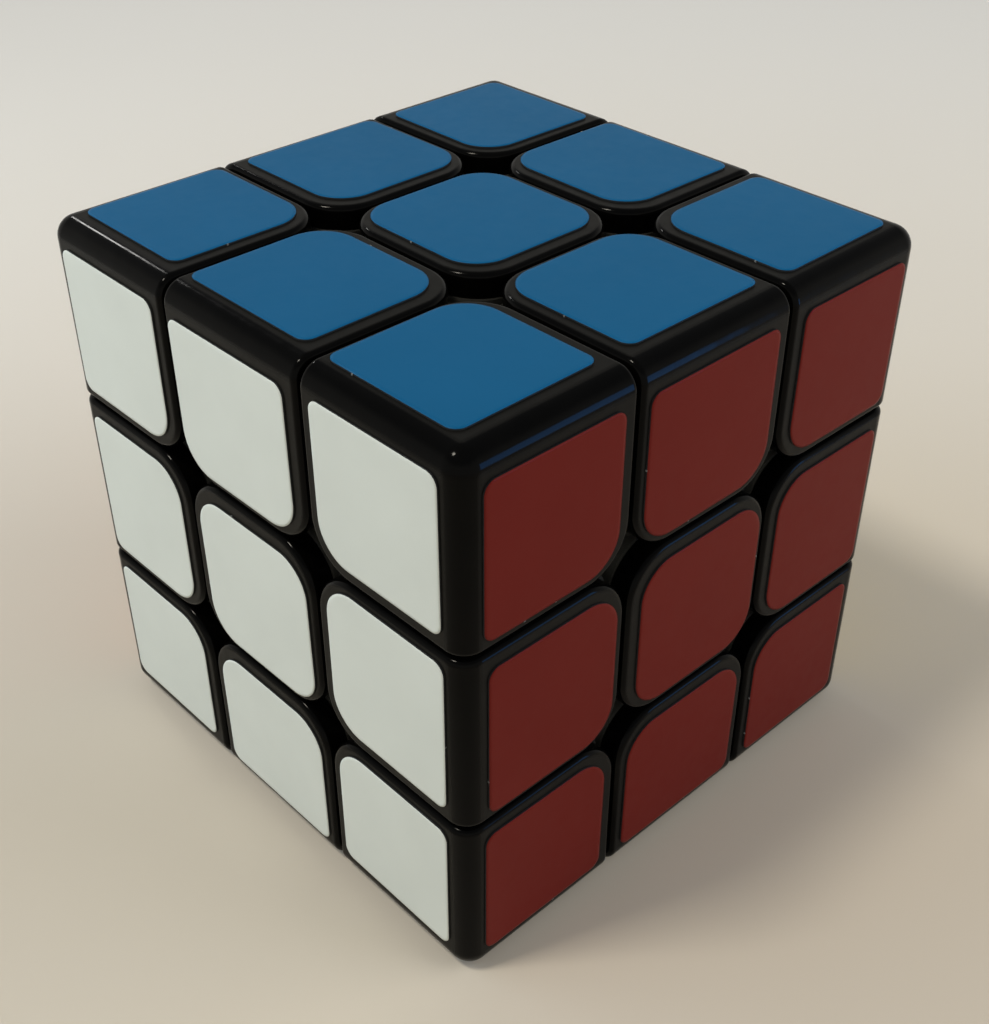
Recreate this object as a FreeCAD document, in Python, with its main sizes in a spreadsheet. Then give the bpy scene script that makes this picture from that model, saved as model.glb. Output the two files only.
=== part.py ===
import FreeCAD, Part

import math
import os

from FreeCAD import Placement, Rotation, Vector

# A 3 x 3 x 3 twisty puzzle cube, built as it comes apart on a bench. A core spider carries six
# centres on spring-loaded screws. Twelve edges and eight corners have feet that hook behind their
# neighbours. Each of these 26 pieces is a base with a cap snapped over it, and stickers on the cap.
#
# Frame: origin at the middle of the core, +Z to the top face, +X to the right face, -Y to the front.
#
# How a face can turn: the layer of a face is all that lies beyond the cut plane outside the undercut
# sphere, and beyond the foot plane inside that sphere. Both bounds are surfaces of revolution about
# the face's axis. A corner is what three layers share, an edge what two share, and a centre what is
# in one layer alone, each drawn back from its bounds by half the layer gap.

DOC = FreeCAD.newDocument("twisty_cube")

# name, value in mm (or a plain count), what it is
SIZES = [
    ("cube_size", 57.0, "across opposite sticker faces"),
    ("middle_layer", 19.0, "between the two cut planes of one axis"),
    ("layer_gap", 0.4, "clear space between pieces of neighbouring layers"),
    ("undercut_radius", 22.0, "sphere in which the feet hook behind the blocks"),
    ("foot_plane", 5.0, "distance from the core's middle to the planes between the feet"),
    ("corner_foot_reach", 17.5, "how near to the core's middle the corner feet come"),
    ("junction_radius", 4.8, "upright rounding of a cap beside a four-way junction"),
    ("base_junction_radius", 3.9, "the same on a base, which shows as a ledge below its cap"),
    ("bevel_radius", 2.1, "rounding of the cube's outer edges"),
    ("lip_radius", 0.6, "rounding where a cap's face turns down into a gap"),
    ("cap_thickness", 2.3, "thickness of each cap's plates"),
    ("base_wall", 1.5, "wall and floor of each base"),
    ("seam", 0.06, "clear space between a cap and its base"),
    ("stem_radius", 2.2, "peg of a base that the cap's socket snaps over"),
    ("socket_wall", 1.2, "wall of the cap's socket"),
    ("socket_depth", 5.0, "how far a stem reaches into its socket"),
    ("sticker_thickness", 0.2, "vinyl sheet with its glue"),
    ("sticker_gap_margin", 1.2, "bare border between a sticker and a gap"),
    ("sticker_edge_margin", 2.5, "bare border between a sticker and the cube's outer edge"),
    ("sticker_radius", 1.15, "small rounding of a sticker's outer points"),
    ("core_radius", 10.0, "ball of the core"),
    ("arm_radius", 3.4, "round arms of the core"),
    ("arm_reach", 12.0, "from the core's middle to the end of an arm"),
    ("running_gap", 0.3, "clear space beside and under the parts that turn on the core"),
    ("hub_wall", 1.2, "wall of a centre's hub, round the spring"),
    ("hub_floor", 2.0, "floor of a centre's hub, under the spring"),
    ("screw_radius", 1.3, "shank of a tension screw"),
    ("screw_fit", 0.03, "radial fit of the shank in its bore in the core"),
    ("screw_bite", 7.0, "length of the shank inside the core's arm"),
    ("screw_head_radius", 2.5, "pan head"),
    ("screw_head_height", 1.5, "pan head"),
    ("recess_width", 0.6, "blade width of the cross recess"),
    ("recess_depth", 0.9, "depth of the cross recess"),
    ("washer_radius", 2.9, "outside of a washer"),
    ("washer_thickness", 0.4, "one washer"),
    ("washer_play", 0.08, "clear space between the pieces stacked on a screw"),
    ("spring_radius", 2.3, "middle of the spring's wire to its axis"),
    ("spring_wire", 0.25, "radius of the spring's wire"),
    ("spring_height", 5.5, "spring as compressed between its washers"),
    ("spring_turns", 5.0, "turns of the spring"),
    ("plug_depth", 1.5, "ring of a centre cap that plugs into the hub"),
]

# name, formula over the driving sizes, what it is
WORKED_OUT = [
    ("half_gap", "layer_gap / 2", "set-back of a piece from its bound"),
    ("face_level", "cube_size / 2 - sticker_thickness", "plastic face from the middle"),
    ("block_start", "middle_layer / 2 + half_gap", "side of an outer-layer block"),
    ("block_half", "middle_layer / 2 - half_gap", "half the width of a middle-layer block"),
    ("block_width", "face_level - block_start", "side of an outer-layer block, cut plane to face"),
    ("block_sphere", "undercut_radius + half_gap", "hollow underside of the blocks"),
    ("foot_sphere", "undercut_radius - half_gap", "outside of the feet"),
    ("foot_start", "foot_plane + half_gap", "side of an outer-layer foot"),
    ("foot_half", "foot_plane - half_gap", "half the width of a middle-layer foot"),
    ("edge_foot_reach", "core_radius + running_gap", "inner side of the edge feet, on the ball"),
    ("cap_level", "face_level - cap_thickness", "inner side of a cap's plates"),
    ("rim_level", "cap_level - seam", "rim of a base"),
    ("floor_sphere", "block_sphere + base_wall", "floor of the hollow in a base"),
    ("neck_sphere", "block_sphere + base_wall / 2", "where a foot's neck ends in the floor"),
    ("cavity_start", "block_start + base_wall", "inner side of a base's walls"),
    ("cavity_half", "block_half - base_wall", "inner side of a middle-layer base's walls"),
    ("socket_bore", "stem_radius + seam", "bore of a cap's socket"),
    ("socket_radius", "socket_bore + socket_wall", "outside of a cap's socket"),
    ("cavity_radius", "base_junction_radius - base_wall", "rounding of the hollow at a junction"),
    ("hub_radius", "foot_half - seam", "hub of a centre, between the feet"),
    ("hub_bore", "hub_radius - hub_wall", "spring chamber in the hub"),
    ("hub_start", "arm_reach + running_gap", "inner end of a hub"),
    ("hub_seat", "hub_start + hub_floor", "floor of the spring chamber"),
    ("screw_clear", "screw_radius + running_gap", "hole in a hub's floor"),
    ("lower_washer", "hub_seat + washer_play", "height of the lower washer"),
    ("spring_start", "lower_washer + washer_thickness + washer_play", "spring's inner end"),
    ("upper_washer", "spring_start + spring_height + washer_play", "height of the upper washer"),
    ("head_start", "upper_washer + washer_thickness + washer_play", "underside of the head"),
    ("screw_end", "arm_reach - screw_bite", "tip of a screw"),
    ("plug_level", "cap_level - plug_depth", "inner end of a centre cap's ring"),
    ("plug_radius", "hub_bore - seam", "outside of a centre cap's ring"),
    ("sticker_start", "block_start + sticker_gap_margin", "sticker's side at a gap"),
    ("sticker_half", "block_half - sticker_gap_margin", "half a middle-layer sticker's width"),
    ("sticker_side", "face_level - sticker_edge_margin - sticker_start", "outer-layer sticker"),
    ("sticker_junction", "junction_radius - sticker_gap_margin", "large rounding of a sticker"),
]


def make_sheet():
    """The spreadsheet of driving sizes, then of the sizes worked out from them."""
    made = DOC.addObject("Spreadsheet::Sheet", "sizes")
    rows = [(name, repr(value), note) for name, value, note in SIZES]
    rows += [(name, "=" + formula, note) for name, formula, note in WORKED_OUT]
    for row, (name, content, note) in enumerate(rows, start=1):
        made.set(f"A{row}", name)
        made.set(f"B{row}", content)
        made.set(f"C{row}", note)
        made.setAlias(f"B{row}", name)
    return made


SHEET = make_sheet()
DOC.recompute()


def size(name):
    """The value of a named size."""
    return float(SHEET.get(name))


def tie(obj, **bound):
    """Bind properties of an object to formulas over the sheet's names. place_x ties a coordinate."""
    for key, formula in bound.items():
        prop = key.replace("place_", "Placement.Base.") if key.startswith("place_") else key
        words = [f"sizes.{w}" if w.isidentifier() else w for w in formula.split()]
        obj.setExpression(prop, " ".join(words))
    return obj


# --- plain shapes ---------------------------------------------------------------------------------


def box(name, **bound):
    return tie(DOC.addObject("Part::Box", name), **bound)


def sphere(name, radius):
    return tie(DOC.addObject("Part::Sphere", name), Radius=radius)


def cylinder(name, direction=Vector(0, 0, 1), start=None, **bound):
    """A cylinder from the named distance along a direction that leaves the core's middle."""
    made = DOC.addObject("Part::Cylinder", name)
    made.Placement = Placement(Vector(), Rotation(Vector(0, 0, 1), direction))
    tie(made, **bound)
    if start:
        unit = Vector(direction).normalize()
        for letter, part in zip("xyz", unit):
            if abs(part) > 1e-9:
                tie(made, **{f"place_{letter}": f"( {start} ) * {part:.12f}"})
    return made


def cut(name, base, tool):
    made = DOC.addObject("Part::Cut", name)
    made.Base, made.Tool = base, tool
    return made


def shared(name, *shapes):
    made = DOC.addObject("Part::MultiCommon", name)
    made.Shapes = list(shapes)
    return made


def joined(name, *shapes):
    made = DOC.addObject("Part::MultiFuse", name)
    made.Shapes = list(shapes)
    made.Refine = True
    return made


def group(name, *solids, turn=Rotation()):
    """Separate solids kept together as one sub-part, turned about the core's middle."""
    made = DOC.addObject("Part::Compound", name)
    made.Links = list(solids)
    made.Placement = Placement(Vector(), turn)
    return made


def shell_between(name, inner, outer):
    """The hollow ball between two named radii."""
    return cut(name, sphere(name + "_outer", outer), sphere(name + "_inner", inner))


# --- blocks with rounded edges ---------------------------------------------------------------------


def is_sharp(shape, edge):
    """Do the two faces at an edge meet at an angle?"""
    middle = edge.valueAt((edge.FirstParameter + edge.LastParameter) / 2)
    normals = []
    for face in shape.ancestorsOfType(edge, Part.Face):
        u, v = face.Surface.parameter(middle)
        normals.append(face.normalAt(u, v))
    return len(normals) == 2 and normals[0].getAngle(normals[1]) > math.radians(20)


def rounded(body, name, radius, wanted):
    """A fillet over the sharp edges of the body's tip whose midpoint the test accepts."""
    base = body.Tip
    shape = base.Shape
    names = []
    for number, edge in enumerate(shape.Edges, start=1):
        middle = edge.valueAt((edge.FirstParameter + edge.LastParameter) / 2)
        if is_sharp(shape, edge) and wanted(edge, middle):
            names.append(f"Edge{number}")
    made = body.newObject("PartDesign::Fillet", name)
    made.Base = (base, names)
    tie(made, Radius=radius)
    body.Tip = made
    DOC.recompute()
    return made


def runs_along(edge, axis):
    """Is an edge straight and parallel to the numbered axis?"""
    if edge.Curve.TypeId != "Part::GeomLine":
        return False
    return abs(edge.tangentAt(edge.FirstParameter)[axis]) > 0.999


def start_body(name, **bound):
    """A body whose first feature is a box tied to the named sizes."""
    body = DOC.addObject("PartDesign::Body", name)
    first = body.newObject("PartDesign::AdditiveBox", name + "_box")
    tie(first, **bound)
    DOC.recompute()
    return body


def near_faces():
    """The level beyond which an edge lies on the outer skin."""
    return size("face_level") - size("bevel_radius")


def round_junctions(body, outer, radius):
    """Round the upright edges beside junctions, which run along a coloured axis."""

    def test(edge, middle):
        for axis in outer:
            across = [abs(middle[n]) for n in range(3) if n != axis]
            if runs_along(edge, axis) and max(across) < near_faces():
                return True
        return False

    rounded(body, body.Name + "_junctions", radius, test)


def block(name, outer, **bound):
    """A piece's outer block with its three kinds of rounding. outer lists its coloured axes."""
    body = start_body(name, **bound)
    round_junctions(body, outer, "junction_radius")

    def on_two_faces(edge, middle):
        return sum(abs(abs(v) - size("face_level")) < 1e-6 for v in middle) > 1

    if len(outer) > 1:
        rounded(body, name + "_bevels", "bevel_radius", on_two_faces)
    rounded(body, name + "_lips", "lip_radius", lambda e, m: max(map(abs, m)) > near_faces())
    return body


def lower_block(name, outer, **bound):
    """A piece's block as its base has it, which is rounded beside the junctions only."""
    body = start_body(name, **bound)
    round_junctions(body, outer, "base_junction_radius")
    return body


def hollow(name, outer, **bound):
    """The room inside a base, down to the spherical floor and open towards the cap."""
    body = start_body(name + "_room", **bound)
    round_junctions(body, outer, "cavity_radius")
    return cut(name, body, sphere(name + "_floor", "floor_sphere"))


# --- bases and caps -----------------------------------------------------------------------------------


def diagonal_peg(name, direction, tip_level):
    """A base's stem and its cap's socket and bore, along a diagonal that ends at the caps' meeting.

    tip_level is the distance along the diagonal at which the inner sides of the cap's plates meet.
    """
    stem = cylinder(
        name + "_stem",
        direction,
        "undercut_radius",
        Radius="stem_radius",
        Height=f"{tip_level} - undercut_radius - stem_radius",
    )
    socket = cylinder(
        name + "_socket",
        direction,
        f"{tip_level} - stem_radius - socket_depth",
        Radius="socket_radius",
        Height="stem_radius + socket_depth + cap_thickness",
    )
    bore = cylinder(
        name + "_bore",
        direction,
        f"{tip_level} - stem_radius - socket_depth",
        Radius="socket_bore",
        Height="socket_depth + seam",
    )
    return stem, socket, bore


def make_corner():
    """The corner piece that sits beyond all three cut planes: base, then cap."""
    bound = dict(
        Length="block_width",
        Width="block_width",
        Height="block_width",
        place_x="block_start",
        place_y="block_start",
        place_z="block_start",
    )
    outer = block("corner_block", (0, 1, 2), **bound)
    lower = lower_block("corner_base_block", (0, 1, 2), **bound)
    inside = dict(place_x="0", place_y="0", place_z="0")
    rim = box("corner_rim", Length="rim_level", Width="rim_level", Height="rim_level", **inside)
    cap_room = box("corner_room", Length="cap_level", Width="cap_level", Height="cap_level", **inside)
    room = hollow(
        "corner_hollow",
        (0, 1, 2),
        Length="block_width",
        Width="block_width",
        Height="block_width",
        place_x="cavity_start",
        place_y="cavity_start",
        place_z="cavity_start",
    )
    foot_box = box(
        "corner_foot_box",
        Length="undercut_radius",
        Width="undercut_radius",
        Height="undercut_radius",
        place_x="foot_start",
        place_y="foot_start",
        place_z="foot_start",
    )
    foot_shell = shell_between("corner_foot_shell", "corner_foot_reach", "foot_sphere")
    foot = shared("corner_foot", foot_box, foot_shell)
    diagonal = Vector(1, 1, 1)
    stem, socket, bore = diagonal_peg("corner", diagonal, f"cap_level * {math.sqrt(3):.9f}")
    walls = cut("corner_walls", shared("corner_lower_block", lower, rim), room)
    base = joined("corner_base", walls, foot, stem)
    plates = cut("corner_plates", outer, cap_room)
    socket_in = shared("corner_socket_in", socket, outer)
    cap = cut("corner_cap", joined("corner_cap_solid", plates, socket_in), bore)
    return base, cap


def make_edge():
    """The edge piece between +Y and +Z, with its long side along X: base, then cap."""
    bound = dict(
        Length="block_half * 2",
        Width="block_width",
        Height="block_width",
        place_x="block_half * -1",
        place_y="block_start",
        place_z="block_start",
    )
    outer = block("edge_block", (1, 2), **bound)
    lower = lower_block("edge_base_block", (1, 2), **bound)
    across = dict(Length="middle_layer", place_x="middle_layer / -2")
    inside = dict(place_y="0", place_z="0")
    rim = box("edge_rim", Width="rim_level", Height="rim_level", **across, **inside)
    cap_room = box("edge_room", Width="cap_level", Height="cap_level", **across, **inside)
    room = hollow(
        "edge_hollow",
        (1, 2),
        Length="cavity_half * 2",
        Width="block_width",
        Height="block_width",
        place_x="cavity_half * -1",
        place_y="cavity_start",
        place_z="cavity_start",
    )
    middle = dict(Length="foot_half * 2", place_x="foot_half * -1")
    foot_box = box(
        "edge_foot_box",
        Width="undercut_radius",
        Height="undercut_radius",
        place_y="foot_start",
        place_z="foot_start",
        **middle,
    )
    foot_shell = shell_between("edge_foot_shell", "edge_foot_reach", "foot_sphere")
    foot = shared("edge_foot", foot_box, foot_shell)
    neck_box = box(
        "edge_neck_box",
        Width="block_width",
        Height="block_width",
        place_y="block_start",
        place_z="block_start",
        **middle,
    )
    neck = shared("edge_neck", neck_box, sphere("edge_neck_end", "neck_sphere"))
    diagonal = Vector(0, 1, 1)
    stem, socket, bore = diagonal_peg("edge", diagonal, f"cap_level * {math.sqrt(2):.9f}")
    undercut = sphere("edge_undercut", "block_sphere")
    above = cut("edge_above", outer, undercut)
    below = cut("edge_below", lower, undercut)
    walls = cut("edge_walls", shared("edge_lower_block", below, rim), room)
    base = joined("edge_base", walls, neck, foot, stem)
    plates = cut("edge_plates", above, cap_room)
    socket_in = shared("edge_socket_in", socket, outer)
    cap = cut("edge_cap", joined("edge_cap_solid", plates, socket_in), bore)
    return base, cap


def make_centre():
    """The centre piece on +Z, round its screw: base with the hub, then cap."""
    bound = dict(
        Length="block_half * 2",
        Width="block_half * 2",
        Height="block_width",
        place_x="block_half * -1",
        place_y="block_half * -1",
        place_z="block_start",
    )
    outer = block("centre_block", (2,), **bound)
    lower = lower_block("centre_base_block", (2,), **bound)
    across = dict(
        Length="middle_layer",
        Width="middle_layer",
        place_x="middle_layer / -2",
        place_y="middle_layer / -2",
    )
    rim = box("centre_rim", Height="rim_level", **across)
    cap_room = box("centre_room", Height="cap_level", **across)
    room = hollow(
        "centre_hollow",
        (2,),
        Length="cavity_half * 2",
        Width="cavity_half * 2",
        Height="block_width",
        place_x="cavity_half * -1",
        place_y="cavity_half * -1",
        place_z="cavity_start",
    )
    undercut = sphere("centre_undercut", "block_sphere")
    above = cut("centre_above", outer, undercut)
    below = cut("centre_below", lower, undercut)
    walls = cut("centre_walls", shared("centre_lower_block", below, rim), room)
    up = Vector(0, 0, 1)
    hub = cylinder("centre_hub", up, "hub_start", Radius="hub_radius", Height="rim_level - hub_start")
    chamber = cylinder("centre_chamber", up, "hub_seat", Radius="hub_bore", Height="cube_size / 2")
    hole = cylinder("centre_hole", up, "arm_reach", Radius="screw_clear", Height="cube_size / 2")
    drilled = joined("centre_drill", chamber, hole)
    base = cut("centre_base", joined("centre_base_solid", walls, hub), drilled)
    plate = cut("centre_plate", above, cap_room)
    ring = cylinder(
        "centre_ring",
        up,
        "plug_level",
        Radius="plug_radius",
        Height="plug_depth + cap_thickness / 2",
    )
    ring_bore = cylinder(
        "centre_ring_bore",
        up,
        "plug_level",
        Radius="plug_radius - hub_wall",
        Height="plug_depth",
    )
    cap = cut("centre_cap", joined("centre_cap_solid", plate, ring), ring_bore)
    return base, cap


# --- stickers -------------------------------------------------------------------------------------------


def sticker(name, outer_x, outer_y):
    """A sticker on the +Z face. outer_x and outer_y: does it lie in the outer layer of X and of Y?"""
    wide = dict(Length="sticker_side", place_x="sticker_start")
    narrow = dict(Length="sticker_half * 2", place_x="sticker_half * -1")
    deep = dict(Width="sticker_side", place_y="sticker_start")
    shallow = dict(Width="sticker_half * 2", place_y="sticker_half * -1")
    body = start_body(
        name,
        Height="sticker_thickness",
        place_z="face_level",
        **(wide if outer_x else narrow),
        **(deep if outer_y else shallow),
    )
    turn = size("middle_layer") / 2 + size("sticker_side") / 2

    def at_junction(edge, middle):
        inward_x = not outer_x or middle.x < turn
        inward_y = not outer_y or middle.y < turn
        return runs_along(edge, 2) and inward_x and inward_y

    rounded(body, name + "_junctions", "sticker_junction", at_junction)
    if outer_x or outer_y:
        rounded(body, name + "_points", "sticker_radius", lambda edge, middle: runs_along(edge, 2))
    return body


def make_stickers():
    """The sets of stickers of the corner, the edge and the centre that stand above."""
    third = Rotation(Vector(1, 1, 1), 120)
    half = Rotation(Vector(0, 1, 1), 180)
    on_corner = sticker("corner_sticker", True, True)
    on_edge = sticker("edge_sticker", False, True)
    on_centre = sticker("centre_sticker", False, False)
    corner_set = [
        on_corner,
        group("corner_sticker_second", on_corner, turn=third),
        group("corner_sticker_third", on_corner, turn=third * third),
    ]
    edge_set = [on_edge, group("edge_sticker_second", on_edge, turn=half)]
    return corner_set, edge_set, [on_centre]


# --- core, screws, springs and washers ----------------------------------------------------------------------


def make_core():
    """The core: a ball with three through arms, bored at each arm's end for a screw."""
    arms = []
    bores = []
    for letter, axis in zip("xyz", (Vector(1, 0, 0), Vector(0, 1, 0), Vector(0, 0, 1))):
        arm = cylinder(
            f"arm_{letter}",
            axis,
            "arm_reach * -1",
            Radius="arm_radius",
            Height="arm_reach * 2",
        )
        arms.append(arm)
        for side, word in ((1, "plus"), (-1, "minus")):
            bore = cylinder(
                f"bore_{letter}_{word}",
                axis * side,
                "screw_end - washer_play",
                Radius="screw_radius + screw_fit",
                Height="screw_bite + running_gap",
            )
            bores.append(bore)
    ball = sphere("core_ball", "core_radius")
    solid = joined("core_solid", ball, *arms)
    return cut("core_bored", solid, joined("core_bores", *bores))


def plane_of(body, role):
    """One of a body's own origin planes."""
    return next(f for f in body.Origin.OriginFeatures if f.Role == role)


def named_limits(sketch, limits):
    """Dimension constraints of a sketch: (kind, element, point, named size or formula)."""
    import Sketcher

    for kind, element, point, formula in limits:
        number = sketch.addConstraint(Sketcher.Constraint(kind, -1, 1, element, point, 1.0))
        words = [f"sizes.{w}" if w.isidentifier() else w for w in formula.split()]
        sketch.setExpression(f"Constraints[{number}]", " ".join(words))


def make_screw():
    """The tension screw on +Z: a revolved shank and pan head with a cross recess."""
    import Sketcher

    body = DOC.addObject("PartDesign::Body", "screw_body")
    sketch = body.newObject("Sketcher::SketchObject", "screw_profile")
    sketch.AttachmentSupport = [(plane_of(body, "XZ_Plane"), "")]
    sketch.MapMode = "FlatFace"
    shank, head = size("screw_radius"), size("screw_head_radius")
    tip, under = size("screw_end"), size("head_start")
    top = under + size("screw_head_height")
    outline = [(0, tip), (shank, tip), (shank, under), (head, under), (head, top), (0, top)]
    points = [Vector(x, y, 0) for x, y in outline]
    for first, second in zip(points, points[1:] + points[:1]):
        sketch.addGeometry(Part.LineSegment(first, second), False)
    for number in range(6):
        sketch.addConstraint(Sketcher.Constraint("Coincident", number, 2, (number + 1) % 6, 1))
    for number in range(6):
        kind = "Horizontal" if number % 2 == 0 else "Vertical"
        sketch.addConstraint(Sketcher.Constraint(kind, number))
    sketch.addConstraint(Sketcher.Constraint("PointOnObject", 0, 1, -2))
    named_limits(
        sketch,
        [
            ("DistanceX", 0, 2, "screw_radius"),
            ("DistanceX", 2, 2, "screw_head_radius"),
            ("DistanceY", 0, 2, "screw_end"),
            ("DistanceY", 2, 2, "head_start"),
            ("DistanceY", 3, 2, "head_start + screw_head_height"),
        ],
    )
    turned = body.newObject("PartDesign::Revolution", "screw_turned")
    turned.Profile = sketch
    turned.ReferenceAxis = (sketch, ["V_Axis"])
    turned.Angle = 360.0
    body.Tip = turned
    DOC.recompute()
    rim = size("screw_head_radius") / 2
    rounded(body, "screw_crown", "screw_head_height / 2", lambda e, m: m.z > top - 1e-6 and abs(m.x) + abs(m.y) > rim)
    blades = []
    for word, long_x in (("one", True), ("two", False)):
        long_side, short_side = "screw_head_radius * 1.2", "recess_width"
        blade = box(
            f"recess_{word}",
            Length=long_side if long_x else short_side,
            Width=short_side if long_x else long_side,
            Height="screw_head_height",
            place_x="screw_head_radius * -0.6" if long_x else "recess_width / -2",
            place_y="recess_width / -2" if long_x else "screw_head_radius * -0.6",
            place_z="head_start + screw_head_height - recess_depth",
        )
        blades.append(blade)
    return cut("screw", body, joined("recess", *blades))


def make_spring():
    """The spring on +Z, a round wire on a helix between the washers."""
    body = DOC.addObject("PartDesign::Body", "spring_body")
    sketch = body.newObject("Sketcher::SketchObject", "spring_section")
    sketch.AttachmentSupport = [(plane_of(body, "XZ_Plane"), "")]
    sketch.MapMode = "FlatFace"
    middle = Vector(size("spring_radius"), size("spring_start") + size("spring_wire"), 0)
    sketch.addGeometry(Part.Circle(middle, Vector(0, 0, 1), size("spring_wire")), False)
    import Sketcher

    number = sketch.addConstraint(Sketcher.Constraint("Radius", 0, 1.0))
    sketch.setExpression(f"Constraints[{number}]", "sizes.spring_wire")
    named_limits(
        sketch,
        [
            ("DistanceX", 0, 3, "spring_radius"),
            ("DistanceY", 0, 3, "spring_start + spring_wire"),
        ],
    )
    DOC.recompute()
    coil = body.newObject("PartDesign::AdditiveHelix", "spring_coil")
    coil.Profile = sketch
    coil.ReferenceAxis = (sketch, ["V_Axis"])
    coil.Mode = "height-turns-angle"
    tie(coil, Height="spring_height - spring_wire * 2", Turns="spring_turns")
    body.Tip = coil
    DOC.recompute()
    return body


def make_washers():
    """The lower and the upper washer on +Z."""
    made = []
    for word in ("lower", "upper"):
        level = f"{word}_washer"
        up = Vector(0, 0, 1)
        disc = cylinder(f"{word}_disc", up, level, Radius="washer_radius", Height="washer_thickness")
        hole = cylinder(f"{word}_hole", up, level, Radius="screw_clear", Height="washer_thickness")
        made.append(cut(f"{word}_washer", disc, hole))
    return made


# --- the places of the pieces ---------------------------------------------------------------------------------

FACES = {
    "right": Vector(1, 0, 0),
    "left": Vector(-1, 0, 0),
    "back": Vector(0, 1, 0),
    "front": Vector(0, -1, 0),
    "top": Vector(0, 0, 1),
    "bottom": Vector(0, 0, -1),
}


def turn_to(*faces):
    """The turn that carries +Z to the first face and, if given, +Y to the second."""
    up = FACES[faces[0]]
    if len(faces) > 1:
        side = FACES[faces[1]]
    else:
        side = Vector(0, 1, 0) if abs(up.y) < 0.5 else Vector(0, 0, -up.y)
    return Rotation(side.cross(up), side, up, "ZYX")


def corner_turn(upright, first, second):
    """The turn that carries the +X, +Y, +Z corner to the corner of three faces, without mirroring."""
    if FACES[first].cross(FACES[second]).dot(FACES[upright]) > 0:
        return turn_to(upright, second)
    return turn_to(upright, first)


UPRIGHT, ACROSS, ALONG = ("top", "bottom"), ("front", "back"), ("left", "right")
EDGE_PLACES = [(u, a) for u in UPRIGHT for a in ACROSS + ALONG]
EDGE_PLACES += [(a, b) for a in ACROSS for b in ALONG]
CORNER_PLACES = [(u, a, b) for u in UPRIGHT for a in ACROSS for b in ALONG]


def make_subparts():
    """Every sub-part in its place, by name."""
    corner, edge, centre = make_corner(), make_edge(), make_centre()
    corner_set, edge_set, centre_set = make_stickers()
    made = {}
    for place in CORNER_PLACES:
        turn, words = corner_turn(*place), "_".join(place)
        made[f"corner_{words}"] = group(f"corner_{words}", *corner, turn=turn)
        made[f"stickers_{words}"] = group(f"stickers_{words}", *corner_set, turn=turn)
    for place in EDGE_PLACES:
        turn, words = turn_to(*place), "_".join(place)
        made[f"edge_{words}"] = group(f"edge_{words}", *edge, turn=turn)
        made[f"stickers_{words}"] = group(f"stickers_{words}", *edge_set, turn=turn)
    screw, spring, washers = make_screw(), make_spring(), make_washers()
    fitted = {"tension_screws": [], "tension_springs": [], "spring_washers": []}
    for face in FACES:
        turn = turn_to(face)
        made[f"centre_{face}"] = group(f"centre_{face}", *centre, turn=turn)
        made[f"sticker_{face}"] = group(f"sticker_{face}", *centre_set, turn=turn)
        fitted["tension_screws"].append(group(f"screw_{face}", screw, turn=turn))
        fitted["tension_springs"].append(group(f"spring_{face}", spring, turn=turn))
        fitted["spring_washers"].append(group(f"washers_{face}", *washers, turn=turn))
    made["core_spider"] = group("core_spider", make_core())
    for name, pieces in fitted.items():
        made[name] = group(name, *pieces)
    return made


def check(subparts):
    """Stop if any object failed or any sub-part is empty or not valid."""
    DOC.recompute()
    for obj in DOC.Objects:
        if "Invalid" in obj.State or "Error" in obj.State:
            raise RuntimeError(f"{obj.Name} failed: {obj.State}")
    for name, obj in subparts.items():
        if obj.Shape.isNull() or not obj.Shape.isValid() or not obj.Shape.Solids:
            raise RuntimeError(f"{name} has no valid shape")


SUBPARTS = make_subparts()
check(SUBPARTS)
os.makedirs("parts", exist_ok=True)
for node, obj in SUBPARTS.items():
    obj.Label = node
    obj.Shape.exportStep(os.path.join("parts", node + ".step"))
solids = sum(len(obj.Shape.Solids) for obj in SUBPARTS.values())
plastic = sum(
    obj.Shape.Volume
    for node, obj in SUBPARTS.items()
    if node.split("_")[0] in ("corner", "edge", "centre", "core")
)
print(f"{len(SUBPARTS)} sub-parts, {solids} solids, {plastic / 1000:.1f} cm3 of plastic")
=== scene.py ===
# %% [markdown]
# # A twisty puzzle cube, dressed
# The object is a puzzle of 26 black plastic blocks that turn about a core inside them. Each of its six faces
# can be turned, and each carries nine vinyl stickers of one colour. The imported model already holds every
# plastic and steel piece at its true size and place, so this lesson only dresses it: it gives each piece its
# finish, cuts the 54 stickers one by one, and sets up a floor, lamps and a camera. We start by loading the
# model, and keep the box that it fills, because the dressed cube has to fill the same one.

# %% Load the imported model
import math
import random

import bmesh
import bpy
from mathutils import Matrix, Vector


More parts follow.
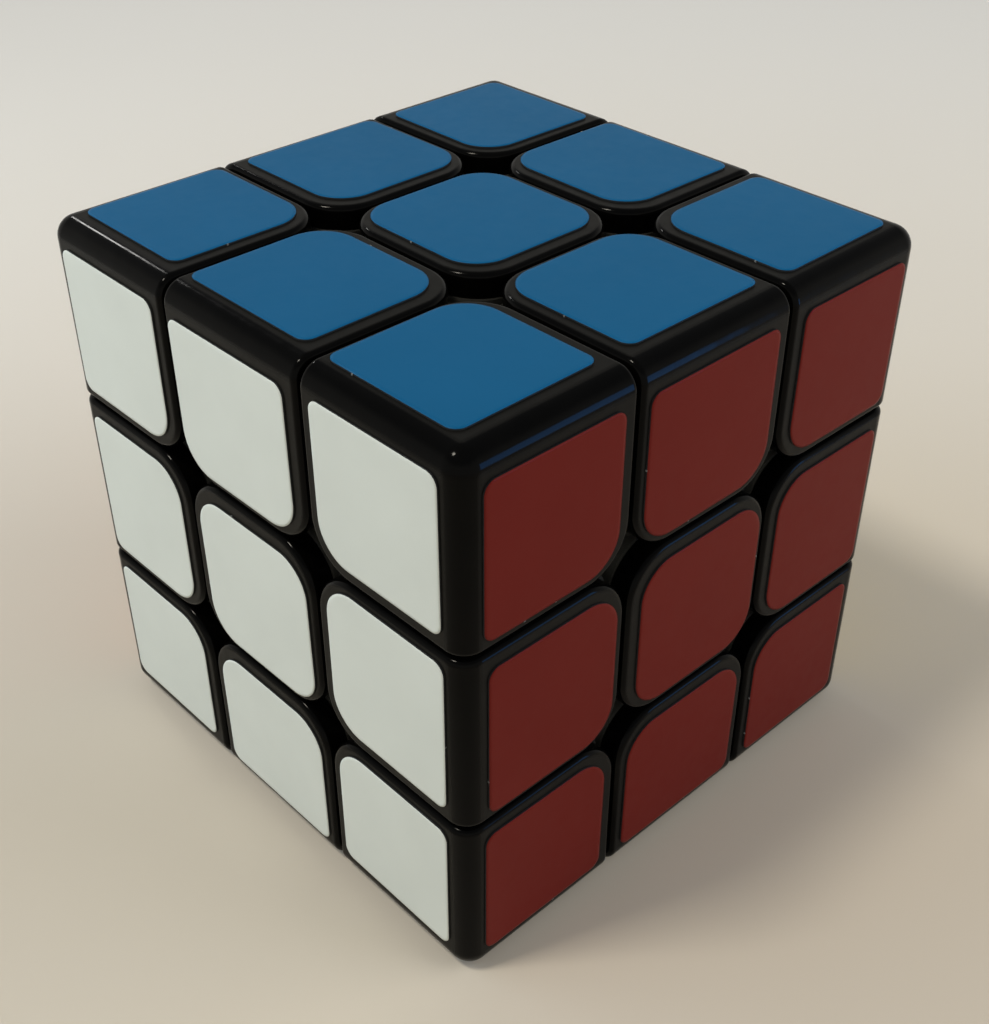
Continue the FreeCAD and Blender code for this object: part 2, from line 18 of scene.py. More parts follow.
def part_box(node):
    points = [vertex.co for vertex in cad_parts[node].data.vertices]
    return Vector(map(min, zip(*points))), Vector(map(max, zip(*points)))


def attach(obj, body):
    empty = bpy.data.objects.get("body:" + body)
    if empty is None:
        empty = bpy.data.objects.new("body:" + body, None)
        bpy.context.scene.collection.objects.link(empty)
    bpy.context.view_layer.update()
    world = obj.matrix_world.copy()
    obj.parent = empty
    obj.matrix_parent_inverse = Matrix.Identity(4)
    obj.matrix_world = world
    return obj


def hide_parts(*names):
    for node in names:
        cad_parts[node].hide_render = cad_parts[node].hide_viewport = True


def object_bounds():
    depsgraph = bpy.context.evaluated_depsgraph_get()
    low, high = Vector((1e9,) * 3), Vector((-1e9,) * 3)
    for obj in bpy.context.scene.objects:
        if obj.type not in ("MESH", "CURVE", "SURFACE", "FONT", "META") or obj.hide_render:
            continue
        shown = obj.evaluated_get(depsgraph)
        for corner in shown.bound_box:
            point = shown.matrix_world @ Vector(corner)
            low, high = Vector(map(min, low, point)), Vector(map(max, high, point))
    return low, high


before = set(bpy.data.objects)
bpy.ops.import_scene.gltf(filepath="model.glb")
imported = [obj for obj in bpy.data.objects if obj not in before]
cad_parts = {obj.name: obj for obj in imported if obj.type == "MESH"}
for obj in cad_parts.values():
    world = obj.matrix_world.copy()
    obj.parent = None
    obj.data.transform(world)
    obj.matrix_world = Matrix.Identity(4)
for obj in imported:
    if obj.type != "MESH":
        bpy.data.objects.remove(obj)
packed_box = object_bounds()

MM = 0.001  # the model is in metres, and a cube this small is easier to think of in millimetres
print("box in mm:", [[round(value / MM, 2) for value in corner] for corner in packed_box])

# %% [markdown]
# ## Measures
# A sticker has to lie exactly on the plastic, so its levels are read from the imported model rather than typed
# in twice. The middle of the cube is the origin. The plastic's outer level is the top of a centre piece, and
# the stickers' top is the outside of the whole cube.

# %% Read the levels of the plastic and the stickers
plastic_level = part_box("centre_top")[1].z
vinyl_level = packed_box[1].z
vinyl_thickness = vinyl_level - plastic_level
print(f"plastic at {plastic_level / MM:.2f} mm, stickers {vinyl_thickness / MM:.2f} mm thick")

# %% [markdown]
# ## Camera
# The cube is seen from a little above, with its nearest corner almost in the middle and three faces showing.
# We could turn the camera with angles, but a place and a point to look at are easier to read and to change.
# A 50 mm lens from about 15 cm gives the strong perspective of a small thing held close.

# %% Place the camera
CAMERA_PLACE = Vector((88.72, -81.84, 82.23)) * MM
CAMERA_AIM = Vector((2.38, -0.59, -2.97)) * MM

camera_data = bpy.data.cameras.new("camera")
camera_data.lens = 50.04
camera_data.clip_start = 5 * MM
camera = bpy.data.objects.new("camera", camera_data)
camera.location = CAMERA_PLACE
camera.rotation_mode = "QUATERNION"
camera.rotation_quaternion = (CAMERA_AIM - CAMERA_PLACE).to_track_quat("-Z", "Y")
bpy.context.scene.collection.objects.link(camera)
bpy.context.scene.camera = camera
print(f"camera {(CAMERA_PLACE - CAMERA_AIM).length / MM:.0f} mm from its aim")

# %% [markdown]
# ## Building materials from nodes
# Every finish below is a small network of nodes around one shader. Adding a node, setting it and wiring it
# takes several lines each time, so one helper does all three. A value may be a number or another node's
# output: the helper wires outputs and writes numbers.

# %% A helper that adds, sets and wires a node
def add(tree, kind, inputs=(), **settings):
    """A new node. inputs: socket name or number to a value or to another node's output."""
    node = tree.nodes.new(kind)
    for name, value in settings.items():
        setattr(node, name, value)
    for socket, value in dict(inputs).items():
        feed(tree, node, socket, value)
    return node


def feed(tree, node, socket, value):
    """Wires value into the node's socket where it is an output, and writes it there where it is a number."""
    if isinstance(value, bpy.types.NodeSocket):
        tree.links.new(value, node.inputs[socket])
    else:
        node.inputs[socket].default_value = value


def new_finish(name):
    """A material with its node tree, its shader and the object's own coordinates."""
    material = bpy.data.materials.new(name)
    material.use_nodes = True
    tree = material.node_tree
    place = add(tree, "ShaderNodeTexCoord").outputs["Object"]
    return material, tree, tree.nodes["Principled BSDF"], place


MIDTONES = (0.3, 0.7)  # most of a noise lies between these, so this range is spread where contrast is wanted


def grain(tree, place, size, detail=2.0):
    """Soft random blotches about that size across, from 0 to 1."""
    inputs = {"Vector": place, "Scale": 1 / size, "Detail": detail}
    return add(tree, "ShaderNodeTexNoise", inputs).outputs["Fac"]


def spread(tree, value, low, high, start=0.0, end=1.0):
    """value, as it goes from start to end, turned into low to high."""
    inputs = {"Value": value, "From Min": start, "From Max": end, "To Min": low, "To Max": high}
    return add(tree, "ShaderNodeMapRange", inputs).outputs["Result"]


def between(tree, share, first, second):
    """A colour between two colours."""
    node = add(tree, "ShaderNodeMix", data_type="RGBA")
    for socket, value in zip((0, 6, 7), (share, first, second)):
        feed(tree, node, socket, value)
    return node.outputs[2]


def relief(tree, height, depth, strength=1.0):
    """A bump from a height of 0 to 1, that deep."""
    inputs = {"Height": height, "Distance": depth, "Strength": strength}
    return add(tree, "ShaderNodeBump", inputs).outputs["Normal"]


# %% [markdown]
# ## Black plastic
# The pieces are moulded in black plastic. The flats that carry the stickers are satin, as the mould was left
# rough there, and are painted a little grey: a painted sheen, for the pale room that they mirror. The
# roundings beside the gaps and along the cube's edges are polished and nearly pure black. Deep in the cube,
# where nothing rubs, the plastic is dull with dust and old grease, and it is painted far paler than that
# dust: painted light, so that the ledges in the dark holes show.
#
# Three materials would need the faces sorted, so one material tells them apart by place instead. On a flat,
# the largest of x, y and z is the plastic's outer level. Deep in the cube it is less than the level of the
# caps' feet, where the ledges of the bases begin.

# %% The plastic of the 26 pieces
SATIN_ROUGHNESS = 0.36
POLISH_ROUGHNESS = 0.12
# The flats' tones are a painted sheen: they are painted greyer than the roundings, for the pale room that they
# mirror.
SATIN_SHEEN_TONES = ((0.0050, 0.0048, 0.0041, 1), (0.0080, 0.0076, 0.0065, 1))
POLISH_TONES = ((0.0008, 0.0008, 0.0008, 1), (0.0018, 0.0017, 0.0015, 1))
DUSTY_ROUGHNESS = 0.5
# Deep inside, the tone is partly dust and partly painted light: it is painted far paler than dust alone, so
# that the ledges in the dark holes show.
DUST_AND_PAINTED_LIGHT_TONES = ((0.060, 0.058, 0.050, 1), (0.090, 0.087, 0.076, 1))
CAP_DEPTH = 2.35 * MM
# In this band the flats' painted sheen begins as well.
FLAT_BAND = (0.05 * MM, 0.005 * MM)  # polish turns to satin between these depths below the outer level
# Over this band the painted light and the dust deep inside fade in.
DUST_AND_PAINTED_LIGHT_BAND = 0.03 * MM
WEAR = 0.04  # how far worn and fresh spots part from the mean roughness
PLASTIC_GLOSS = 0.07  # much of the light that a new moulding mirrors is lost to dust and finger marks


def outermost(tree, place):
    """The largest of x, y and z, each without its sign."""
    parts = add(tree, "ShaderNodeSeparateXYZ", {0: place}).outputs
    sizes = [add(tree, "ShaderNodeMath", {0: part}, operation="ABSOLUTE").outputs[0] for part in parts]
    pair = add(tree, "ShaderNodeMath", {0: sizes[0], 1: sizes[1]}, operation="MAXIMUM").outputs[0]
    return add(tree, "ShaderNodeMath", {0: pair, 1: sizes[2]}, operation="MAXIMUM").outputs[0]


def make_black_plastic():
    """Rough flats with a painted sheen, polished roundings, and dust with painted light deep inside."""
    material, tree, shader, place = new_finish("black_plastic")
    edge = outermost(tree, place)
    flat = spread(tree, edge, 0, 1, *(plastic_level - step for step in FLAT_BAND))
    foot = plastic_level - CAP_DEPTH
    deep = spread(tree, edge, 1, 0, foot - DUST_AND_PAINTED_LIGHT_BAND, foot)
    blotches = grain(tree, place, 2.5 * MM, 4)
    pairs = (POLISH_TONES, SATIN_SHEEN_TONES, DUST_AND_PAINTED_LIGHT_TONES)
    # The flats' colour carries a painted sheen, and the colour deep inside carries painted light besides dust.
    polish, satin_sheen, dust_and_painted_light = [between(tree, blotches, *pair) for pair in pairs]
    outside = between(tree, flat, polish, satin_sheen)
    feed(tree, shader, "Base Color", between(tree, deep, outside, dust_and_painted_light))
    roughness = spread(tree, flat, POLISH_ROUGHNESS, SATIN_ROUGHNESS)
    dulling = spread(tree, deep, 0, DUSTY_ROUGHNESS)
    roughness = add(tree, "ShaderNodeMath", {0: roughness, 1: dulling}, operation="MAXIMUM").outputs[0]
    wear = spread(tree, grain(tree, place, 1.1 * MM, 6), -WEAR, WEAR, *MIDTONES)
    total = add(tree, "ShaderNodeMath", {0: roughness, 1: wear}, operation="ADD").outputs[0]
    feed(tree, shader, "Roughness", total)
    ripples = relief(tree, grain(tree, place, 3 * MM, 1), 0.02 * MM)
    feed(tree, shader, "Normal", ripples)
    feed(tree, shader, "IOR", 1.5)
    feed(tree, shader, "Specular IOR Level", PLASTIC_GLOSS)
    return material


black_plastic = make_black_plastic()
print("black plastic:", len(black_plastic.node_tree.nodes), "nodes")

# %% [markdown]
# ## Vinyl
# A sticker is printed vinyl sheet: satin, faintly uneven in colour, with a surface like fine orange peel.
# The six colours share one recipe, so a function makes them from a name and a colour.

# %% The vinyl of the six faces
VINYL_COLOURS = {
    "blue": (0.0040, 0.088, 0.204),
    "green": (0.006, 0.190, 0.055),
    "white": (0.585, 0.62, 0.575),
    "yellow": (0.72, 0.53, 0.03),
    "red": (0.122, 0.0105, 0.0072),
    "orange": (0.52, 0.12, 0.012),
}

PALER, DEEPER = 1.02, 0.975  # the print's unevenness, as shares of its colour
PALE_LIFT = 0.0004  # and a trace of white where a channel is nearly black
VINYL_ROUGHNESS = (0.34, 0.42)
PEEL_DEPTH = 0.004 * MM
VINYL_GLOSS = 0.06


def make_vinyl(colour_name, colour):
    """Satin printed vinyl of that colour."""
    material, tree, shader, place = new_finish("vinyl_" + colour_name)
    pale = (*(channel * PALER + PALE_LIFT for channel in colour), 1)
    deep = (*(channel * DEEPER for channel in colour), 1)
    clouds = spread(tree, grain(tree, place, 9 * MM, 2), 0, 1, *MIDTONES)
    feed(tree, shader, "Base Color", between(tree, clouds, deep, pale))
    roughness = spread(tree, grain(tree, place, 1.4 * MM, 4), *VINYL_ROUGHNESS, *MIDTONES)
    feed(tree, shader, "Roughness", roughness)
    feed(tree, shader, "Normal", relief(tree, grain(tree, place, 0.6 * MM, 2), PEEL_DEPTH))
    feed(tree, shader, "Specular IOR Level", VINYL_GLOSS)
    return material


vinyls = {name: make_vinyl(name, colour) for name, colour in VINYL_COLOURS.items()}
print("vinyls:", ", ".join(vinyls))

# %% [markdown]
# The colour is printed on the sheet's top only, so a sticker's cut edge shows the dark glue and the shadow of
# the plastic through clear film. Where a sticker was torn from its neighbour, a tiny pale nib is left. Both
# are so narrow that one plain recipe between two tones is enough for them.

# %% The cut edge and the torn nibs
def make_plain_vinyl(name, dark, light, roughness):
    """Unprinted vinyl between two colours."""
    material, tree, shader, place = new_finish(name)
    feed(tree, shader, "Base Color", between(tree, grain(tree, place, 0.5 * MM), dark, light))
    spots = grain(tree, place, 0.3 * MM)
    feed(tree, shader, "Roughness", spread(tree, spots, roughness, roughness + 0.15))
    return material


GLUE_TONES = ((0.010, 0.011, 0.013, 1), (0.022, 0.023, 0.026, 1))
NIB_TONES = ((0.11, 0.12, 0.12, 1), (0.28, 0.28, 0.27, 1))
cut_edge = make_plain_vinyl("vinyl_cut_edge", *GLUE_TONES, 0.45)
torn_nib = make_plain_vinyl("vinyl_torn_nib", *NIB_TONES, 0.5)
print("edge finishes:", cut_edge.name, torn_nib.name)

# %% [markdown]
# ## The mechanism
# Inside the blocks are the core, its screws, springs and washers, which show when the cube is taken apart.
# The core is dull moulded plastic. The steel parts are metallic, with fine marks left by turning and
# stamping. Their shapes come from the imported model, so a finish is all that they need.

# %% The core's plastic
CORE_TONES = ((0.022, 0.022, 0.024, 1), (0.038, 0.038, 0.04, 1))


def make_core_plastic():
    """Dull moulded plastic with a fine pebble."""
    material, tree, shader, place = new_finish("core_plastic")
    blotches = grain(tree, place, 1.5 * MM, 3)
    feed(tree, shader, "Base Color", between(tree, blotches, *CORE_TONES))
    feed(tree, shader, "Roughness", spread(tree, grain(tree, place, 0.8 * MM), 0.45, 0.6))
    feed(tree, shader, "Normal", relief(tree, grain(tree, place, 0.15 * MM), 0.01 * MM))
    return material


core_plastic = make_core_plastic()
print("core plastic:", len(core_plastic.node_tree.nodes), "nodes")


# %% The three steels
def make_steel(name, tones, roughness, mark):
    """Steel between two tones, with marks of that size."""
    material, tree, shader, place = new_finish(name)
    feed(tree, shader, "Base Color", between(tree, grain(tree, place, mark * 4, 3), *tones))
    feed(tree, shader, "Metallic", 1.0)
    spots = grain(tree, place, mark, 4)
    feed(tree, shader, "Roughness", spread(tree, spots, roughness, roughness + 0.14))
    feed(tree, shader, "Normal", relief(tree, grain(tree, place, mark, 2), mark / 20))
    return material


SCREW_TONES = ((0.5, 0.5, 0.48, 1), (0.66, 0.66, 0.64, 1))
SPRING_TONES = ((0.45, 0.46, 0.47, 1), (0.6, 0.61, 0.62, 1))
WASHER_TONES = ((0.56, 0.56, 0.54, 1), (0.7, 0.7, 0.68, 1))
MECHANISM = {
    "core_spider": core_plastic,
    "tension_screws": make_steel("screw_steel", SCREW_TONES, 0.26, 0.25 * MM),
    "tension_springs": make_steel("spring_steel", SPRING_TONES, 0.3, 0.12 * MM),
    "spring_washers": make_steel("washer_steel", WASHER_TONES, 0.22, 0.4 * MM),
}
print("mechanism:", ", ".join(MECHANISM))

# %% [markdown]
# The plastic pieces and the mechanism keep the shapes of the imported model, and only change their material.

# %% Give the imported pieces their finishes
def refinish(node, material):
    """The node's object takes that material on every face."""
    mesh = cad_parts[node].data
    mesh.materials.clear()
    mesh.materials.append(material)


BLOCK_KINDS = ("corner", "edge", "centre")
plastic_nodes = [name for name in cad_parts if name.split("_")[0] in BLOCK_KINDS]
for name in plastic_nodes:
    refinish(name, black_plastic)
for name, material in MECHANISM.items():
    refinish(name, material)
print(len(plastic_nodes), "plastic pieces and", len(MECHANISM), "mechanism pieces refinished")

# %% [markdown]
# ## Cutting a sticker
# A real sticker is die-cut from flat sheet, so we cut ours the same way: a flat rectangle, rounded at its
# points, given a pressed rim, and raised to the sheet's thickness. A point at a junction of four stickers has
# the large rounding and the others a small one. We could cut all nine of a face from one outline, but the
# roundings differ, so each sticker is cut for its own cell. The pressed rim is a narrow band that dips where
# the blade pushed the sheet down, and it is what catches the light along an edge.

# %% The sizes of a sticker
GAP_SIDE = 10.9 * MM  # an outer-layer sticker starts this far from the cube's middle
EDGE_SIDE = plastic_level - 2.5 * MM  # and ends this far from it
HALF_WIDTH = 8.1 * MM  # half a middle-layer sticker's width
JUNCTION_ROUNDING = 3.6 * MM
POINT_ROUNDING = 1.15 * MM
RIM_WIDTH = 0.22 * MM
RIM_DROP = 0.045 * MM
JUNCTION_STEPS, POINT_STEPS = 14, 8  # how many flats make up each rounding
SAME_PLACE = 7  # decimals of a metre at which two points count as one
print(f"sticker sides: {(EDGE_SIDE - GAP_SIDE) / MM:.2f} and {2 * HALF_WIDTH / MM:.2f} mm")


# %% Cut the flat outline for one cell
def span(cell):
    """Where a sticker starts and ends along one axis: cell is -1, 0 or 1."""
    if cell == 0:
        return -HALF_WIDTH, HALF_WIDTH
    return tuple(sorted((cell * GAP_SIDE, cell * EDGE_SIDE)))


def at_gap(cell, at_far_end):
    """Does a middle or outer sticker's end, far or near, lie beside a gap?"""
    return cell == 0 or (cell < 0) == at_far_end


def cut_outline(sheet, column, row):
    """A flat rectangle with its four points rounded, facing +Z."""
    bmesh.ops.create_grid(sheet, x_segments=1, y_segments=1, size=1)
    (left, right), (low, high) = span(column), span(row)
    for point in sheet.verts:
        point.co = Vector((right if point.co.x > 0 else left, high if point.co.y > 0 else low, 0))
    middle = Vector(((left + right) / 2, (low + high) / 2, 0))
    for point in list(sheet.verts):
        right_end, top_end = point.co.x > middle.x, point.co.y > middle.y
        junction = at_gap(column, right_end) and at_gap(row, top_end)
        radius = JUNCTION_ROUNDING if junction else POINT_ROUNDING
        steps = JUNCTION_STEPS if junction else POINT_STEPS
        rounding = {"offset": radius, "segments": steps, "profile": 0.5, "affect": "VERTICES"}
        bmesh.ops.bevel(sheet, geom=[point], material=-1, **rounding)


def press_rim(sheet):
    """Two bands inside the outline: the outer one will dip, and the inner one stays flat beside it."""
    for _ in range(2):
        inner = max(sheet.faces, key=lambda face: face.calc_area())
        band = {"thickness": RIM_WIDTH, "use_even_offset": True, "use_boundary": True}
        bmesh.ops.inset_region(sheet, faces=[inner], **band)


# %% [markdown]
# ## Nibs
# Stickers come joined by tiny bridges, which tear when one is pulled off. Each leaves a nib on a straight
# side, a tenth of a millimetre or so. A bump in the material couldn't show it, since it changes the outline,
# so we split off a short piece of the side and draw it out. How many nibs a sticker has, and where, is left
# to chance.

# %% Leave nibs on the cut
STRAIGHT_SIDE = 4 * MM  # an edge longer than this is a straight side and not part of a rounding
NIB_COUNTS = (0, 1, 1, 2)
NIB_SHARE = (0.15, 0.8)  # where on its side a nib may be
NIB_WIDTH = (0.10 * MM, 0.2 * MM)
NIB_REACH = (0.05 * MM, 0.12 * MM)
NEAR_NIB = 0.11 * MM


def outline_edges(sheet, longest=False):
    """The edges of the outline, or only its straight sides."""
    edges = [edge for edge in sheet.edges if len(edge.link_faces) == 1]
    return [edge for edge in edges if edge.calc_length() > STRAIGHT_SIDE] if longest else edges


def leave_nib(sheet, side, share, width, reach):
    """Splits off a short piece of a straight side and pulls it outwards."""
    start, end = side.verts
    inner = side.link_faces[0].calc_center_median()
    along = (end.co - start.co).normalized()
    outwards = Vector((along.y, -along.x, 0))
    if outwards.dot(start.co - inner) < 0:
        outwards = -outwards
    length = side.calc_length()
    first_edge, first = bmesh.utils.edge_split(side, start, share)
    rest = [e for e in first.link_edges if end in e.verts][0]
    second_edge, second = bmesh.utils.edge_split(rest, first, width / (length * (1 - share)))
    short = [e for e in first.link_edges if second in e.verts][0]
    grown = bmesh.ops.extrude_edge_only(sheet, edges=[short])["geom"]
    tips = [item for item in grown if isinstance(item, bmesh.types.BMVert)]
    bmesh.ops.translate(sheet, verts=tips, vec=outwards * reach)
    return [item for item in grown if isinstance(item, bmesh.types.BMFace)]


def leave_nibs(sheet, chance):
    """Leaves some nibs, and tells where they are."""
    nibs = []
    for _ in range(chance.choice(NIB_COUNTS)):
        side = chance.choice(outline_edges(sheet, longest=True))
        share, width, reach = (chance.uniform(*ends) for ends in (NIB_SHARE, NIB_WIDTH, NIB_REACH))
        nibs += leave_nib(sheet, side, share, width, reach)
    return [nib.calc_center_median().copy() for nib in nibs]


# %% Raise the sheet to its thickness
def seen_from_above(vert):
    """The vertex's place without its height, to tell which points lie over each other."""
    return round(vert.co.x, SAME_PLACE), round(vert.co.y, SAME_PLACE)


def raise_sheet(sheet):
    """Gives the flat sheet its thickness, with the rim pressed down a little."""
    rim_places = {seen_from_above(vert) for edge in outline_edges(sheet) for vert in edge.verts}
    grown = bmesh.ops.extrude_face_region(sheet, geom=list(sheet.faces), use_keep_orig=True)["geom"]
    top = [item for item in grown if isinstance(item, bmesh.types.BMVert)]
    bmesh.ops.translate(sheet, verts=top, vec=(0, 0, vinyl_thickness))
    pressed = [vert for vert in top if seen_from_above(vert) in rim_places]
    bmesh.ops.translate(sheet, verts=pressed, vec=(0, 0, -RIM_DROP))
    bmesh.ops.recalc_face_normals(sheet, faces=list(sheet.faces))


# %% [markdown]
# ## Sticking them on
# Each face has its own directions: one to the right, one up and one outwards. A sticker is cut in the flat
# and then carried to its face by those three, which makes one short loop do all 54. The piece beneath is
# named for the sides of the cube that it shows, so the same three directions also give its name.

# %% The six faces and the piece under each cell
X, Y, Z = Vector((1, 0, 0)), Vector((0, 1, 0)), Vector((0, 0, 1))
FACES = {
    "top": (X, Y, Z, "blue"),
    "bottom": (X, -Y, -Z, "green"),
    "front": (X, Z, -Y, "white"),
    "back": (-X, Z, Y, "yellow"),
    "right": (Y, Z, X, "red"),
    "left": (-Y, Z, -X, "orange"),
}
KINDS = {1: "centre", 2: "edge", 3: "corner"}


def piece_under(direction):
    """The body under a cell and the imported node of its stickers, from the cell's direction."""
    words = [
        ("top" if direction.z > 0 else "bottom") if round(direction.z) else "",
        ("back" if direction.y > 0 else "front") if round(direction.y) else "",
        ("right" if direction.x > 0 else "left") if round(direction.x) else "",
    ]
    words = [word for word in words if word]
    together = "_".join(words)
    set_name = ("sticker_" if len(words) == 1 else "stickers_") + together
    return f"{KINDS[len(words)]}_{together}", set_name


# %% [markdown]
# The stickers were put on by hand, and none lies quite straight or central. Most of those towards the camera
# have shifts of their own, and all others get a random one. A shift is kept small enough that the sticker
# stays off the rounded lip beside a gap.

# %% How far each sticker lies from the middle of its place, in mm to its right and up
HAND_SHIFTS = {
    "top": {
        (-1, 1): (-0.15, 0.14), (0, 1): (-0.45, 0.30), (1, 1): (0.17, 0.26),
        (-1, 0): (-0.34, 0.32), (0, 0): (-0.45, 0.22), (1, 0): (-0.36, 0.17),
        (-1, -1): (-0.34, 0.21), (0, -1): (-0.45, -0.15), (1, -1): (-0.45, -0.28),
    },
    "right": {
        (-1, 1): (-0.36, -0.18), (0, 1): (-0.27, -0.22), (1, 1): (0.30, -0.15),
        (-1, 0): (0.10, -0.36), (0, 0): (0.36, -0.32), (1, 0): (0.28, -0.32),
        (-1, -1): (-0.34, -0.18), (0, -1): (-0.05, -0.32), (1, -1): (-0.04, -0.32),
    },
    "front": {
        (0, 1): (-0.36, -0.30), (1, 1): (0.26, 0.34),
        (0, 0): (0.26, -0.38), (1, 0): (0.34, 0.36),
        (0, -1): (0.22, -0.30), (1, -1): (0.18, 0.25),
    },
}  # fmt: skip
HAND_PLAY = 0.25
HAND_TURN = math.radians(0.4)


def lay_by_hand(sheet, face, column, row, chance):
    """Shifts and turns a flat sticker a little in its place."""
    drawn = [chance.uniform(-HAND_PLAY, HAND_PLAY) for _ in range(2)]
    turn = chance.uniform(-HAND_TURN, HAND_TURN)
    shift = HAND_SHIFTS.get(face, {}).get((column, row), drawn)
    middle = Vector((sum(span(column)) / 2, sum(span(row)) / 2, 0))
    moves = Matrix.Translation(middle + Vector((*shift, 0)) * MM) @ Matrix.Rotation(turn, 4, "Z")
    bmesh.ops.transform(sheet, matrix=moves @ Matrix.Translation(-middle), verts=list(sheet.verts))


# %% Give a raised sheet's sides their finishes
PRINT, GLUE, NIB = 0, 1, 2  # the order of the finishes on a sticker


def finish_sides(sheet, nib_places):
    """The print on top, nibs where they were left, and glue on all other sides."""
    for side in sheet.faces:
        upright = abs(side.normal.z) < 0.5
        middle = side.calc_center_median()
        on_nib = any((middle - spot).xy.length < NEAR_NIB for spot in nib_places)
        unprinted = upright or side.normal.z < -0.5
        side.material_index = NIB if on_nib else (GLUE if unprinted else PRINT)
        side.smooth = not upright


# %% Put a sheet's parts in order
ORDER_ALONG = Vector((1, 1.618, 2.236))  # a slanted line, along which hardly two parts lie level


def put_in_order(sheet):
    """Sorts the sheet's parts by place, because the order in which an operator makes them varies by run."""
    sheet.verts.sort(key=lambda vert: vert.co.dot(ORDER_ALONG))
    sheet.edges.sort(key=lambda edge: sum(vert.co.dot(ORDER_ALONG) for vert in edge.verts))
    sheet.faces.sort(key=lambda side: side.calc_center_median().dot(ORDER_ALONG))


# %% Cut, place and fix one sticker
def stick(face, column, row, chance):
    """The sticker of one cell of a face, on its piece."""
    right, up, outwards, colour = FACES[face]
    body, packed_stickers = piece_under(outwards + right * column + up * row)
    sheet = bmesh.new()
    cut_outline(sheet, column, row)
    press_rim(sheet)
    nib_places = leave_nibs(sheet, chance)
    raise_sheet(sheet)
    finish_sides(sheet, nib_places)
    lay_by_hand(sheet, face, column, row, chance)
    place = Matrix((right, up, outwards)).transposed().to_4x4()
    to_face = place @ Matrix.Translation((0, 0, plastic_level))
    bmesh.ops.transform(sheet, matrix=to_face, verts=list(sheet.verts))
    put_in_order(sheet)
    mesh = bpy.data.meshes.new(f"vinyl_{face}_on_{body}")
    sheet.to_mesh(mesh)
    sheet.free()
    for material in (vinyls[colour], cut_edge, torn_nib):
        mesh.materials.append(material)
    sticker = bpy.data.objects.new(mesh.name, mesh)
    bpy.context.scene.collection.objects.link(sticker)
    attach(sticker, body)
    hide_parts(packed_stickers)
    return sticker


# %% Cut all 54
STICKER_SEED = 26  # the same chances on every run
CELLS = [(column, row) for column in (-1, 0, 1) for row in (-1, 0, 1)]

chance = random.Random(STICKER_SEED)
stickers = [stick(face, column, row, chance) for face in FACES for column, row in CELLS]
print(len(stickers), "stickers,", sum(len(s.data.polygons) for s in stickers), "faces")

# %% [markdown]
# ## Floor and background
# The cube stands on a plain pale floor. One that runs to the horizon would end in a hard line there, so this
# one fades away around the cube, and the world behind it has nearly the same tone. The floor's colour is
# painted light and shade: it is painted darker and warmer near the cube and paler and cooler towards the
# back, which also keeps the cube's far edges clear of it.

# %% Lay the floor
# Painted light and shade on the floor: darker and warmer near the cube, paler and cooler towards the back.
FLOOR_NEAR_PAINTED_SHADE = (0.54, 0.485, 0.40, 1)
FLOOR_FAR_PAINTED_LIGHT = (0.79, 0.785, 0.755, 1)
TO_THE_BACK = (-0.73, 0.683, 0)  # the way that the camera looks, along the floor
PALER_FROM, PALER_TO = -20 * MM, 260 * MM
FADE_FROM, FADE_TO = 150 * MM, 450 * MM
FLOOR_REACH = 0.7  # half a side, in metres: more than the distance at which the floor has faded
MOTTLE_SIZE, MOTTLE_SHARE = 60 * MM, 0.05

floor_sheet = bmesh.new()
bmesh.ops.create_grid(floor_sheet, x_segments=1, y_segments=1, size=FLOOR_REACH)
bmesh.ops.translate(floor_sheet, verts=list(floor_sheet.verts), vec=(0, 0, packed_box[0].z))
floor_mesh = bpy.data.meshes.new("floor")
floor_sheet.to_mesh(floor_mesh)
floor_sheet.free()
floor = bpy.data.objects.new("floor", floor_mesh)
bpy.context.scene.collection.objects.link(floor)
print("floor at", round(packed_box[0].z / MM, 2), "mm")

# %% Give the floor its finish
floor_finish, tree, shader, place = new_finish("floor_finish")
backwards = add(tree, "ShaderNodeVectorMath", {0: place, 1: TO_THE_BACK}, operation="DOT_PRODUCT")
depth = spread(tree, backwards.outputs["Value"], 0, 1, PALER_FROM, PALER_TO)
# The painted light and shade along the floor, from the near tone to the far one.
painted_light_falloff = between(tree, depth, FLOOR_NEAR_PAINTED_SHADE, FLOOR_FAR_PAINTED_LIGHT)
mottle = spread(tree, grain(tree, place, MOTTLE_SIZE, 3), 0, MOTTLE_SHARE)
feed(tree, shader, "Base Color", between(tree, mottle, painted_light_falloff, (1, 1, 1, 1)))
feed(tree, shader, "Roughness", 0.9)
feed(tree, shader, "Specular IOR Level", 0.1)
distance = add(tree, "ShaderNodeVectorMath", {0: place}, operation="LENGTH").outputs["Value"]
gone = spread(tree, distance, 0, 1, FADE_FROM, FADE_TO)
gone.node.interpolation_type = "SMOOTHSTEP"
clear = add(tree, "ShaderNodeBsdfTransparent").outputs[0]
fading = add(tree, "ShaderNodeMixShader", {0: gone, 1: shader.outputs[0], 2: clear}).outputs[0]
feed(tree, tree.nodes["Material Output"], "Surface", fading)
floor_mesh.materials.append(floor_finish)
print("floor fades from", round(FADE_FROM / MM), "to", round(FADE_TO / MM), "mm")

# %% [markdown]
# ## Light
# A black thing shows little but reflections, so what surrounds it matters more than how bright the lamps are.
# The world here is a quiet studio: a pale wall up to a low height, and a dim ceiling above it.
#
# Three soft lamps shape the faces: a cool one at the left, one at the right and a faint one overhead. A soft
# lamp mirrored in a rounded corner would show as a grey patch, so these cast light but aren't mirrored.
# Three small lamps are there to be mirrored. The one overhead gives each polished rounding a bright point,
# the one far to the left draws a thin streak along a bevel, and the blue one at the right stands in for a
# window at dusk, and lays a thin blue line along the bevels on that side.

# %% The studio's wall and ceiling
WALL_TONE = (0.595, 0.58, 0.54, 1)
CEILING_TONE = (0.24, 0.247, 0.257, 1)
WALL_TOP = 0.34  # sine of the height, in angle, at which the wall starts to fade
CEILING_START = 0.62

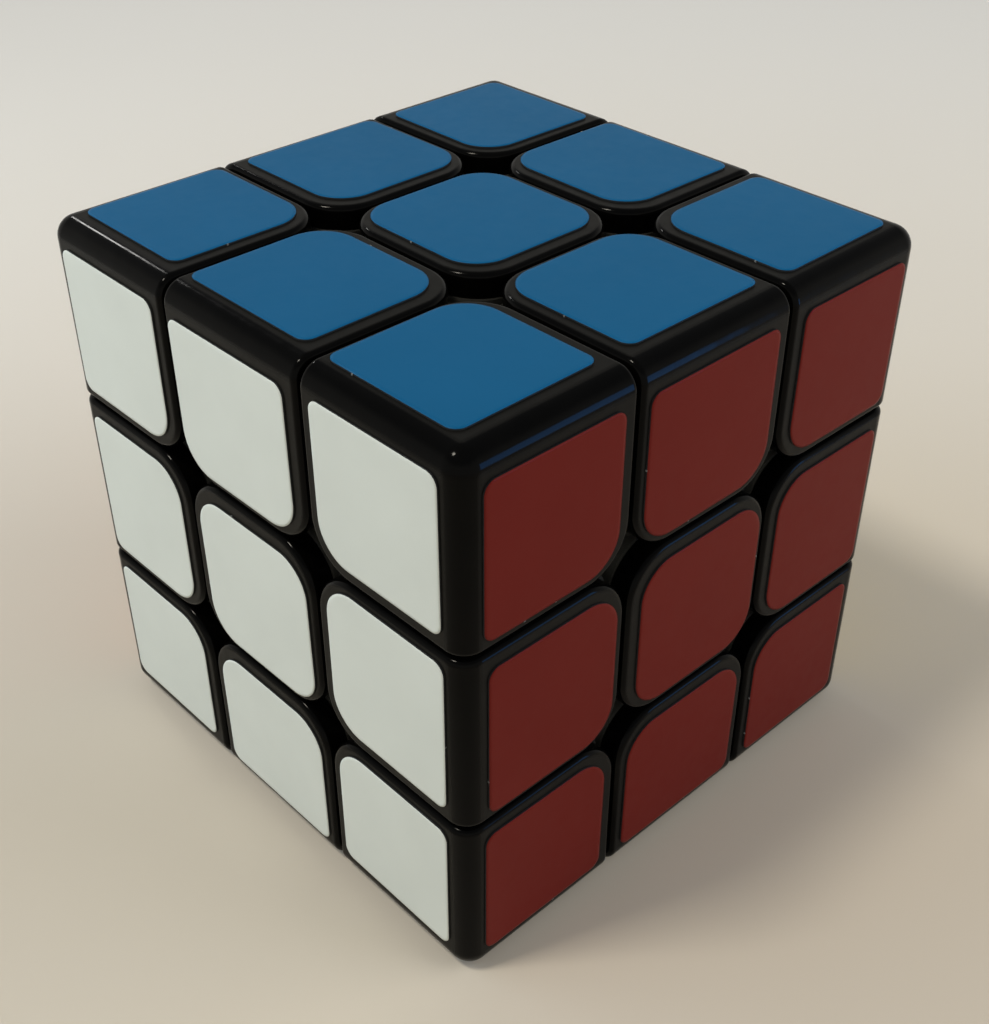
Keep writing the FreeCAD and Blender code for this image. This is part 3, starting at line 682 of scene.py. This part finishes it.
world = bpy.data.worlds.new("studio")
bpy.context.scene.world = world
world.use_nodes = True
tree = world.node_tree
direction = add(tree, "ShaderNodeTexCoord").outputs["Generated"]
height = add(tree, "ShaderNodeSeparateXYZ", {0: direction}).outputs["Z"]
fade = spread(tree, height, 0, 1, WALL_TOP, CEILING_START)
feed(tree, tree.nodes["Background"], "Color", between(tree, fade, WALL_TONE, CEILING_TONE))
print("studio wall fades from", WALL_TOP, "to", CEILING_START)


# %% Hang the lamps
def hang_lamp(name, direction, width, power, colour, distance, soft=False):
    """A square lamp in that direction from the cube, facing it and hidden from the camera."""
    lamp = bpy.data.lights.new(name, "AREA")
    lamp.size, lamp.energy, lamp.color = width, power, colour
    lamp_object = bpy.data.objects.new(name, lamp)
    lamp_object.location = Vector(direction).normalized() * distance
    lamp_object.visible_camera = False
    lamp_object.visible_glossy = not soft
    lamp_object.rotation_mode = "QUATERNION"
    lamp_object.rotation_quaternion = (-lamp_object.location).to_track_quat("-Z", "Y")
    bpy.context.scene.collection.objects.link(lamp_object)


# name, direction, width in metres, power in watts, colour, distance in metres
SOFT_LAMPS = (
    ("front_lamp", (-0.64, -0.66, 0.40), 0.22, 0.33, (0.86, 1.0, 1.16), 0.28),
    ("side_lamp", (0.67, 0.56, 0.49), 0.36, 1.24, (1.0, 0.98, 0.95), 0.50),
    ("top_lamp", (-0.05, 0.05, 1.0), 0.4, 0.05, (0.97, 1.0, 1.02), 0.6),
)
MIRRORED_LAMPS = (
    ("glint_lamp", (-0.187, -0.431, 0.883), 0.15, 3.7, (1.0, 0.93, 0.80), 0.9),
    ("streak_lamp", (-0.81, 0.10, 0.57), 0.06, 0.30, (1.0, 0.98, 0.95), 0.9),
    ("window_lamp", (0.82, 0.565, 0.05), 0.26, 0.95, (0.08, 0.38, 1.0), 0.8),
)
for lamp in SOFT_LAMPS:
    hang_lamp(*lamp, soft=True)
for lamp in MIRRORED_LAMPS:
    hang_lamp(*lamp)
bpy.context.scene.view_settings.view_transform = "Standard"
print("lamps:", [lamp[0] for lamp in SOFT_LAMPS + MIRRORED_LAMPS])
